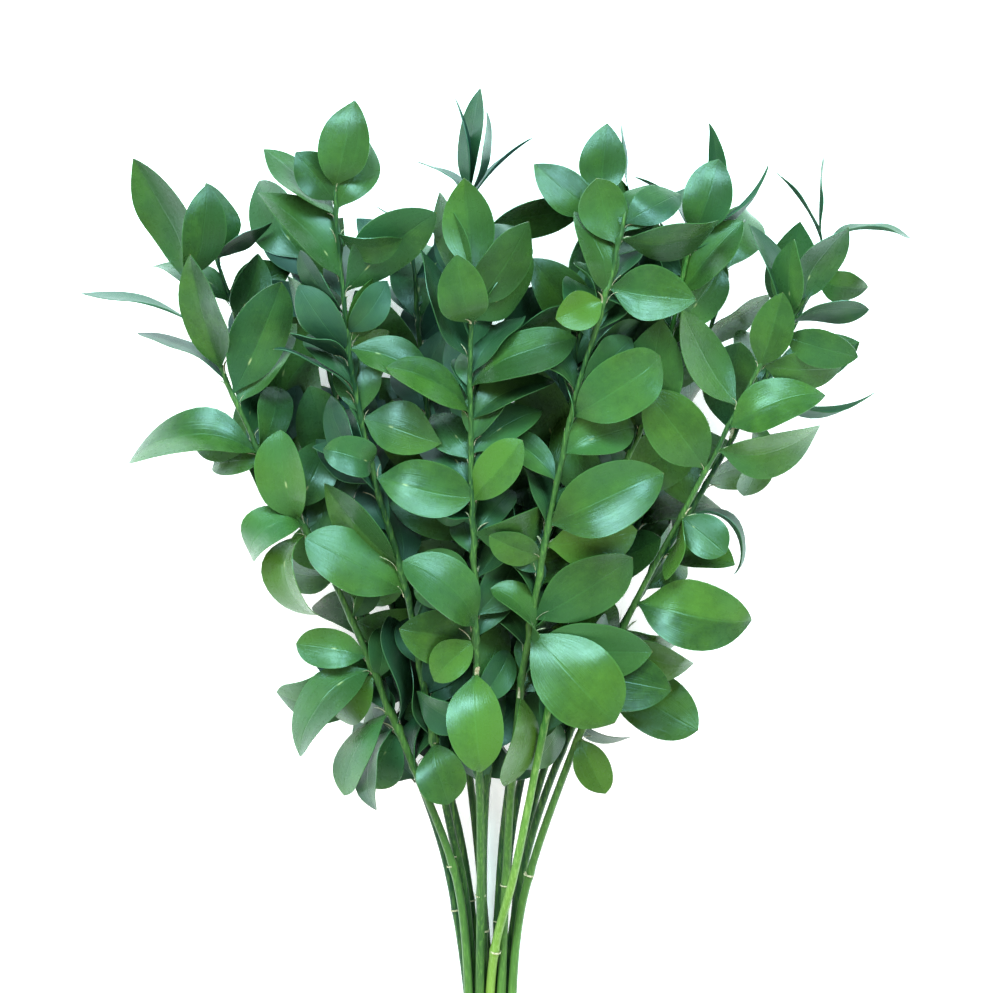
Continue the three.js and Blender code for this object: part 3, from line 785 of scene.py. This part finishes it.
def leafFinish(name, look):
    leaf, pattern = Finish(name), leafPattern
    spot = leaf.add("ShaderNodeUVMap", {"uv_map": "leafMap"})
    across, along = (spot.part("X") * 2 - 1).math("ABSOLUTE"), spot.part("Y")
    # tint, age and grain of each leaf, which also carry its painted shade
    habitAndShade = leaf.add("ShaderNodeAttribute", {"attribute_name": "leafHabitAndShade"}, output="Vector")
    tint, age, grain = habitAndShade.part("X"), habitAndShade.part("Y"), habitAndShade.part("Z")
    wide, long = pattern["streaks"]
    streakSpot = leaf.vector(spot.part("X") * wide + grain * 40, along * long, grain * 17)
    streaks = leaf.noise(streakSpot, 1.0, 3.0, 0.6).between(0.35, 0.7)
    mottle = leaf.noise(leaf.place(), pattern["mottle"], 3.0, 0.6)
    clouds = leaf.noise(leaf.place(), pattern["clouds"], 1.0)
    fine = leaf.noise(leaf.place(), pattern["fine"], 2.0)
    rib = 1 - across.between(*pattern["rib"])
    apart = (along - 0.34 - tint * 0.16).math("ABSOLUTE") * 20
    scar = (1 - apart.between(0.1, 0.6)) * (1 - across.between(0.01, 0.06))
    half = (spot.part("X").between(0.42, 0.58) - 0.5) * (grain - 0.5)  # painted shade of the fold at the midrib: one half darker than the other
    # darker towards the root: partly the leaf's own colour, partly painted shade near the cane
    rootToneAndShade = 1 - along.between(0.02, 0.42)
    tone = tint + (mottle - 0.5) * 1.1 + (fine - 0.5) * 0.4 + half * 1.2 - rootToneAndShade * 0.35
    colour = leaf.blend(tone, look["deep"], look["fresh"])
    layers = (  # how much of each colour goes over it, in turn
        (grain * 0.45 + (clouds - 0.5) * 1.5, look["cool"]),
        (age, look["aged"]),
        # painted shade over the leaves inside the bunch
        (0 - age, look["inner"]),
        (streaks * 0.07, look["vein"]),
        # paler along the midrib, and at the edges a pale margin with a painted rim highlight
        (rib * (0.16 - along * 0.12) + across.between(*pattern["rim"]) * 0.25, look["vein"]),
        (scar * grain.between(*pattern["scarred"]) * 0.6, pattern["scar"]),
        (along.between(0.975, 1.0) * 0.5, pattern["dryTip"]),
    )
    for share, over in layers:
        colour = leaf.blend(share, colour, over)
    gloss = leaf.noise(leaf.place(), pattern["gloss"], 2.0)
    rough = gloss.over(*look["rough"]) + (0 - age).between(0, 0.5) * 0.2
    relief = leaf.bump(streaks * 0.3 - rib * 0.8 + mottle * 0.15, pattern["relief"], 0.5)
    return leaf.done(colour, rough, relief, {
        "Specular IOR Level": look["shine"],
        "Specular Tint": pattern["sheen"],
        "Coat Weight": look["coat"],
        "Coat Roughness": pattern["coatRough"],
    })


caneSkin = {"fibres": (900, 24), "patches": 30, "relief": 0.0003, "rough": (0.34, 0.50), "shine": 0.32}
caneGreen = {
    "shade": (0.004, 0.028, 0.014, 1),
    "light": (0.052, 0.118, 0.022, 1),
    "streak": (0.095, 0.200, 0.038, 1),
}
caneLime = {
    "shade": (0.034, 0.116, 0.018, 1),
    "light": (0.140, 0.228, 0.036, 1),
    "streak": (0.200, 0.310, 0.085, 1),
}


def stretched(finish, across, along):  # object coordinates drawn out along the canes
    place = finish.place()
    return finish.vector(place.part("X") * across, place.part("Y") * along, place.part("Z") * across)


def caneFinish(name, look):
    skin = Finish(name)
    fibres = skin.noise(stretched(skin, *caneSkin["fibres"]), 1.0, 3.0, 0.6)
    shade = skin.add("ShaderNodeAttribute", {"attribute_name": "caneHabitAndShade"}, output="Fac")
    patches = skin.noise(skin.place(), caneSkin["patches"], 2.0)
    colour = skin.blend(shade + (patches - 0.5) * 0.8, look["shade"], look["light"])
    colour = skin.blend(fibres.between(0.46, 0.68) * 0.5, colour, look["streak"])
    rough, relief = patches.over(*caneSkin["rough"]), skin.bump(fibres, caneSkin["relief"], 0.3)
    return skin.done(colour, rough, relief, {"Specular IOR Level": caneSkin["shine"]})


pith = {  # of the cut ends
    "dark": (0.38, 0.42, 0.20, 1),
    "pale": (0.62, 0.64, 0.40, 1),
    "mix": (0.4, 0.65),
    "fibres": (2600, 90),
    "noise": (2.0, 0.5),
    "relief": (0.0004, 0.7),
    "rough": 0.75,
}
papery = {  # of the scales at the nodes
    "dark": (0.24, 0.21, 0.12, 1),
    "pale": (0.50, 0.49, 0.33, 1),
    "mix": (0.35, 0.7),
    "fibres": (700, 700),
    "noise": (3.0, 0.6),
    "relief": (0.0003, 0.6),
    "rough": 0.8,
}


def dryFinish(name, look):
    dry = Finish(name)
    fibres = dry.noise(stretched(dry, *look["fibres"]), 1.0, *look["noise"])
    colour = dry.blend(fibres.between(*look["mix"]), look["dark"], look["pale"])
    return dry.done(colour, look["rough"], dry.bump(fibres, *look["relief"]))


rubber = {  # of the tie
    "dark": (0.40, 0.27, 0.12, 1),
    "pale": (0.56, 0.42, 0.22, 1),
    "dust": (0.66, 0.55, 0.36, 1),
    "specks": 420,
    "patches": 60,
    "relief": 0.0003,
    "rough": (0.55, 0.85),
}


def bandFinish():
    band = Finish("elasticBand")
    dust = band.noise(band.place(), rubber["specks"], 3.0, 0.6)
    patches = band.noise(band.place(), rubber["patches"], 2.0)
    colour = band.blend(patches, rubber["dark"], rubber["pale"])
    colour = band.blend(dust.between(0.55, 0.8) * 0.4, colour, rubber["dust"])
    return band.done(colour, dust.over(*rubber["rough"]), band.bump(dust, rubber["relief"], 0.5))


def linked(name, data):
    made = bpy.data.objects.new(name, data)
    bpy.context.collection.objects.link(made)
    return made


def meshOf(bm, name, move):
    mesh = bpy.data.meshes.new(name)
    bm.to_mesh(mesh)
    bm.free()
    mesh.transform(move)
    return mesh


# from a bmesh in millimetres to a finished piece of a node
def makePiece(bm, node, part, materials, modifiers=(), crisp=50):
    name = node + "_" + part
    mesh = meshOf(bm, name, Matrix.Translation(bunchPlace) @ Matrix.Scale(millimetre, 4))
    for material in materials:
        mesh.materials.append(material)
    mesh.polygons.foreach_set("use_smooth", [True] * len(mesh.polygons))
    piece = linked(name, mesh)
    for kind, settings in modifiers:
        setAll(piece.modifiers.new(kind.capitalize(), kind), settings)
    if modifiers:  # applied, so that the rims can be kept crisp
        shaped = piece.evaluated_get(bpy.context.evaluated_depsgraph_get())
        piece.data = bpy.data.meshes.new_from_object(shaped)
        piece.data.name = name
        piece.modifiers.clear()
    piece.data.set_sharp_from_angle(angle=math.radians(crisp))
    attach(piece, "root")
    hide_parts(node)


leafTint = {
    "tint": (0.05, 0.95),  # from deep to fresh green
    "age": (0, 0.3),  # how far a leaf has yellowed
    "topShade": 0.6,  # painted shade: share of the tint that the top leaves lose
    "topLeftShade": 0.25,  # painted shade that those at the top left lose besides
    "left": 120,
    "dull": (0.5, 1),  # painted shade of the leaves of the inside
    "edgeShadeTint": 0.1,  # painted shade of the leaves that stand on edge: their tint here, how far they darken below
    "edgeShade": (0.2, 1),
}
# leaves that have yellowed more: the stem, the height of the root and how far
yellowed = {
    ("stem_centre_right", 438): 0.95,
    ("stem_centre_right", 204): 0.7,
    ("stem_centre_right", 294): 0.5,
    ("stem_left", 301): 0.75,
    ("stem_right", 234): 0.6,
    ("stem_right", 177): 0.5,
    ("stem_left", 215): 0.5,
    ("stem_lime", 363): 0.5,
    ("stem_centre", 237): 0.2,
    ("stem_high", 477): 0.3,
}


def addLeaf(bm, leaf, draw):
    columns, rows = leafForm["columns"], leafForm["rows"]
    steps = len(rows) - 1
    grid = bmesh.ops.create_grid(bm, x_segments=columns, y_segments=steps, size=1, calc_uvs=True)
    made = grid["verts"]
    flat = np.array([vert.co for vert in made])
    t = np.interp((flat[:, 1] + 1) / 2, np.linspace(0, 1, len(rows)), rows)
    for vert, point in zip(made, finePoints(leaf, t, -flat[:, 0])):
        vert.co = point
    # tint, age and grain, with an age below 0 for the leaves of the inside, which get a painted shade
    # painted shade: the leaves at the top of the bunch are darker, and those at its top left more
    tint = draw(*leafTint["tint"]) * (1 - leafTint["topShade"] * atTop(leaf))
    habitAndShade = Vector((tint, draw(*leafTint["age"]), draw(0, 1)))
    atLeft = partOf(-leaf["root"][0], 0, leafTint["left"])
    habitAndShade.x -= leafTint["topLeftShade"] * atTop(leaf) * atLeft
    habitAndShade.y = yellowed.get(leaf.get("name"), habitAndShade.y)
    # painted shade of the leaves of the inside, darker for the lower rows
    if "inner" in leaf:
        habitAndShade.y = -draw(*leafTint["dull"]) * innerLeaves["dullness"][leaf["stem"]["row"]]
    # painted shade: leaves that stand on their edge are darker and duller
    if onEdge(leaf):
        habitAndShade.xy = leafTint["edgeShadeTint"], -draw(*leafTint["edgeShade"]) * onEdge(leaf)
    layer = bm.faces.layers.float_vector["leafHabitAndShade"]
    for face in {face for vert in made for face in vert.link_faces}:
        face[layer] = habitAndShade


def makeLeaves(stem, materials):
    bm = bmesh.new()
    bm.loops.layers.uv.new("leafMap")
    bm.faces.layers.float_vector.new("leafHabitAndShade")
    draw = drawsFrom(stem["seed"] + 700)
    for leaf in laid:
        if leaf["stem"] is stem:
            addLeaf(bm, leaf, draw)
    smooth = {"levels": 1, "render_levels": 1, "boundary_smooth": "PRESERVE_CORNERS"}
    thick = {"thickness": leafForm["thick"] * millimetre, "offset": 0, "material_offset": 1}
    modifiers = (("SUBSURF", smooth), ("SOLIDIFY", thick))
    makePiece(bm, stem["name"], "leaves", materials, modifiers)


def nodesOf(stem):  # heights of the nodes: the leaf roots, and rings on the bare part
    heights = sorted({float(leaf["root"][1]) for leaf in laid if leaf["stem"] is stem})
    draw = drawsFrom(stem["seed"] + 400)
    bare, y = [], -cane["tuck"] + draw(*cane["firstNode"])
    while y < heights[0] - cane["leafless"]:
        if abs(y) > tieForm["width"]:
            bare.append(y)
        y += draw(*cane["bareNodes"])
    return bare, heights


def caneFrame(stem, y):  # point, directions and radius at a height
    point, along = stemAt(stem, y)
    side, up = sidesOf(along)
    return point, along, side, up, caneRadius(stem, y)


weld = 0.001  # points nearer than this become one


def addTube(bm, points, side, up, radii):  # a grid rolled up into a closed tube
    around, rows = cane["sides"], len(points) - 1
    made = bmesh.ops.create_grid(bm, x_segments=around, y_segments=rows, size=1)["verts"]
    for vert in made:
        ring = round((vert.co.y + 1) / 2 * rows)
        turn = -math.pi * vert.co.x
        vert.co = points[ring] + turned(side[ring], up[ring], turn) * radii[ring]
    bmesh.ops.remove_doubles(bm, verts=made, dist=weld)
    made = [vert for vert in made if vert.is_valid]
    rims = [edge for edge in {edge for vert in made for edge in vert.link_edges} if edge.is_boundary]
    return bmesh.ops.holes_fill(bm, edges=rims, sides=0)["faces"]


def makeCane(stem, materials):
    bare, heights = nodesOf(stem)
    bm = bmesh.new()
    # how light each cane is, which also carries its painted shade
    habitAndShade = bm.faces.layers.float.new("caneHabitAndShade")
    points = centreLine(stem, cane["rings"])
    along = np.gradient(points, axis=0)
    along /= np.linalg.norm(along, axis=1, keepdims=True)
    side, up = sidesOf(along)
    radii = caneRadius(stem, points[:, 1])
    draw = drawsFrom(stem["seed"] + 500)
    for way in (side, up):  # a cane turns a little at each node
        steps = [draw(-cane["kink"], cane["kink"]) for y in bare + heights]
        points = points + way * np.interp(points[:, 1], bare + heights, steps)[:, None]
    for y in bare + heights:
        swollen = np.exp(-(((points[:, 1] - y) / cane["swellingReach"]) ** 2))
        radii = radii * (1 + cane["swelling"] * swollen)
    rounding = (stem["top"] + 0.2 - points[:, 1]) / 2.5
    radii = radii * np.clip(rounding, 0.05, 1) ** 0.5  # the tip is round
    for face in addTube(bm, points, side, up, radii):
        face.material_index = 1 if face.calc_center_median().y < 0 else 0
    # painted shade: the canes of the lower rows are darker
    light = draw(*cane["tones"][stem["row"]])
    fade = cane["limeFade"] if stem["name"] == "stem_lime" else cane["fade"]
    for face in bm.faces:  # darker towards the top
        share = (face.calc_center_median().y + cane["tuck"]) / (stem["top"] + cane["tuck"])
        face[habitAndShade] = light * (1 + fade * (cane["fadeMiddle"] - share))
    bmesh.ops.recalc_face_normals(bm, faces=bm.faces[:])
    makePiece(bm, stem["name"], "cane", materials, crisp=60)


scaleForm = {
    "length": (6.0, 13.0),
    "wrap": (0.2, 0.5),  # half the angle that a scale goes round the cane
    "curl": (2.0, 8.0),  # how far the tip stands off the cane
    "droop": (0, 0.5),  # how far it hangs back, as a share of the length
    "below": 1.2,  # from the scale to the root of its leaf
    "about": (-0.5, 0.5),  # how far round the cane it is from its leaf
    "grid": (4, 5),
    "thick": 0.16,
    "clear": 0.15,  # between the cane and its foot
}
ringForm = {  # the rings of the bare part, and the small scales on some of them
    "wrap": 3.1,
    "length": (0.7, 1.2),
    "grid": (16, 2),
    "scaled": 0.4,  # share of the rings that have a scale
    "about": (0.5, 2.6),
    "scaleLength": (4, 8),
    "scaleCurl": (1, 4),
    "scaleDroop": (0, 0.4),
}


def addScale(bm, stem, y, about, wrap, length, curl, droop):
    isRing = wrap == ringForm["wrap"]
    around, rows = ringForm["grid"] if isRing else scaleForm["grid"]
    made = bmesh.ops.create_grid(bm, x_segments=around, y_segments=rows, size=1)["verts"]
    point, along, side, up, radius = caneFrame(stem, y)
    for vert in made:
        t = (vert.co.y + 1) / 2
        turn = about - vert.co.x * wrap * (1 if isRing else (1 - t) ** 0.7)
        off = radius * (1 + cane["swelling"]) + scaleForm["clear"] + curl * t * t
        vert.co = point + turned(side, up, turn) * off + along * (length * (t - droop * t * t) - 0.5)


def makeScales(stem, material):
    bare, heights = nodesOf(stem)
    draw = drawsFrom(stem["seed"] + 600)
    bm = bmesh.new()
    for y in heights:
        leaf = next(one for one in laid if one["stem"] is stem and float(one["root"][1]) == y)
        side, up = caneFrame(stem, y)[2:4]
        about = math.atan2(float(leaf["chord"] @ up), float(leaf["chord"] @ side))
        about += draw(*scaleForm["about"])
        form = [draw(*scaleForm[key]) for key in ("wrap", "length", "curl", "droop")]
        addScale(bm, stem, y - scaleForm["below"], about, *form)
    for y in bare:
        addScale(bm, stem, y, draw(0, 2 * math.pi), ringForm["wrap"], draw(*ringForm["length"]), 0, 0)
        if draw(0, 1) < ringForm["scaled"]:
            about, wrap = draw(*ringForm["about"]), draw(*scaleForm["wrap"])
            form = [draw(*ringForm[key]) for key in ("scaleLength", "scaleCurl", "scaleDroop")]
            addScale(bm, stem, y, about, wrap, *form)
    modifiers = (("SOLIDIFY", {"thickness": scaleForm["thick"] * millimetre, "offset": 0}),)
    makePiece(bm, stem["name"], "scales", [material], modifiers)


bandForm = {
    "ribs": 3,
    "ribDepth": 0.28,
    "ribFlank": 8,  # higher, and the ribs go nearer to the edges
    "square": 0.35,  # lower, and the section is squarer
    "arcSteps": 8,
    "across": 13,
}


def squared(share):  # drives a rounded section towards a square one
    return math.copysign(abs(share) ** bandForm["square"], share)


def makeTie(material):
    corner = cane["radius"] + tieForm["gap"] + tieForm["wall"] / 2
    wide, high = 2 * cane["pitch"], rowHeight(2) - rowHeight(0)
    centres = ((wide, high), (-wide, high), (-wide, 0), (wide, 0))
    path = []  # middle of the wall, and the way out of it
    for quarter, (x, z) in enumerate(centres):
        for turn in np.linspace(quarter, quarter + 1, bandForm["arcSteps"]) * math.pi / 2:
            path.append((x + corner * math.cos(turn), z + corner * math.sin(turn), turn))
    bm = bmesh.new()
    count = 4 * bandForm["across"]
    made = bmesh.ops.create_grid(bm, x_segments=count, y_segments=len(path), size=1)["verts"]
    for vert in made:
        x, z, turn = path[round((vert.co.y + 1) / 2 * len(path)) % len(path)]
        around = math.pi * vert.co.x
        y = squared(math.cos(around)) * tieForm["width"] / 2
        out = squared(math.sin(around)) * tieForm["wall"] / 2
        rib = 0.5 + 0.5 * math.cos(2 * math.pi * bandForm["ribs"] * (y / tieForm["width"] + 0.5))
        if out > 0:
            flank = abs(2 * y / tieForm["width"]) ** bandForm["ribFlank"]
            out -= bandForm["ribDepth"] * rib * (1 - flank)
        vert.co = (x + out * math.cos(turn), -y, z + rowHeight(0) + out * math.sin(turn))
    bmesh.ops.remove_doubles(bm, verts=made, dist=weld)
    bmesh.ops.recalc_face_normals(bm, faces=bm.faces[:])
    makePiece(bm, "tie", "band", [material])


leafMaterials = [leafFinish("leafUpper", leafUpper), leafFinish("leafUnder", leafUnder)]
caneMaterials = {False: caneFinish("caneGreen", caneGreen), True: caneFinish("caneLime", caneLime)}
cutEnd, dryScale = dryFinish("cutEnd", pith), dryFinish("dryScale", papery)
for stem in stems:
    makeLeaves(stem, leafMaterials)
    makeCane(stem, [caneMaterials[stem["name"] == "stem_lime"], cutEnd])
    makeScales(stem, dryScale)
makeTie(bandFinish())

studio = {
    "floorSize": 4,  # half its width, in metres
    "floorDrop": 0.0004,
    "floor": (0.97, 0.935, 0.92, 1),
    "glow": (0.90, 0.95, 0.95, 1),  # lit from below a little, as a light table is
    "glowStrength": 0.46,
    "overhead": (0.12, 0.125, 0.125, 1),
    "horizon": (0.72, 0.75, 0.75, 1),
}
lampAim = (0, 0.08, 0.08)
lamps = {  # place, size, power and colour
    "keyLeft": ((-0.80, 1.50, 1.90), (1.4, 0.8), 106, (0.59, 0.94, 0.90)),
    "keyRight": ((0.80, 1.45, 1.90), (1.4, 0.8), 90, (0.57, 0.92, 0.94)),
    "fillLeft": ((-1.15, -0.75, 1.1), (1.4, 1.0), 33, (1.0, 1.0, 0.96)),
    "fillRight": ((1.15, -0.75, 1.1), (1.4, 1.0), 32, (0.96, 1.0, 1.0)),
}


def makeFloor():
    bm = bmesh.new()
    bmesh.ops.create_grid(bm, x_segments=1, y_segments=1, size=studio["floorSize"])
    mesh = meshOf(bm, "floor", Matrix.Translation((0, 0, -studio["floorDrop"])))
    ground = Finish("floorPaper")
    grain = ground.noise(ground.place(), 900.0, 2.0)
    glow = {"Emission Color": studio["glow"], "Emission Strength": studio["glowStrength"]}
    relief = ground.bump(grain, 0.0002, 0.2)
    mesh.materials.append(ground.done(studio["floor"], 0.9, relief, glow))
    linked("floor", mesh)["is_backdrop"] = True


def makeSky():  # pale all round and darker overhead
    sky = Finish("sky", bpy.data.worlds)
    height = sky.add("ShaderNodeTexCoord", {}, output="Generated").part("Z")
    colour = sky.blend((1 - height.math("ABSOLUTE")) ** 2, studio["overhead"], studio["horizon"])
    light = sky.add("ShaderNodeBackground", {}, {"Color": colour})
    sky.add("ShaderNodeOutputWorld", {}, {"Surface": light})
    bpy.context.scene.world = sky.material


def makeLight(name, place, size, power, colour):
    light = bpy.data.lights.new(name, "AREA")
    light.shape, light.energy, light.color = "RECTANGLE", power, colour
    light.size, light.size_y = size
    lamp = linked(name, light)
    lamp.location = place
    aim = Vector(lampAim) - Vector(place)
    lamp.rotation_euler = aim.to_track_quat("-Z", "Y").to_euler()
    lamp.visible_glossy = name.startswith("key")  # the fills only soften the shade


makeFloor()
for name, lamp in lamps.items():
    makeLight(name, *lamp)
makeSky()
bpy.context.scene.view_settings.view_transform = "Standard"

cameraForm = {"lens": 157.1, "sensor_width": 36, "clip_end": 20}  # it sees 20 metres
cameraPlace = Vector((3.9, 323.1, 2690))  # from where it looks straight down
camera = bpy.data.cameras.new("camera")
setAll(camera, cameraForm)
viewer = linked("camera", camera)
viewer.location = cameraPlace * millimetre + bunchPlace
bpy.context.scene.camera = viewer

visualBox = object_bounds()
boxes = {"cad": cadBox, "visual": visualBox}
{key: [list(corner) for corner in box] for key, box in boxes.items()}
print("box:", [round(value, 4) for corner in visualBox for value in corner])
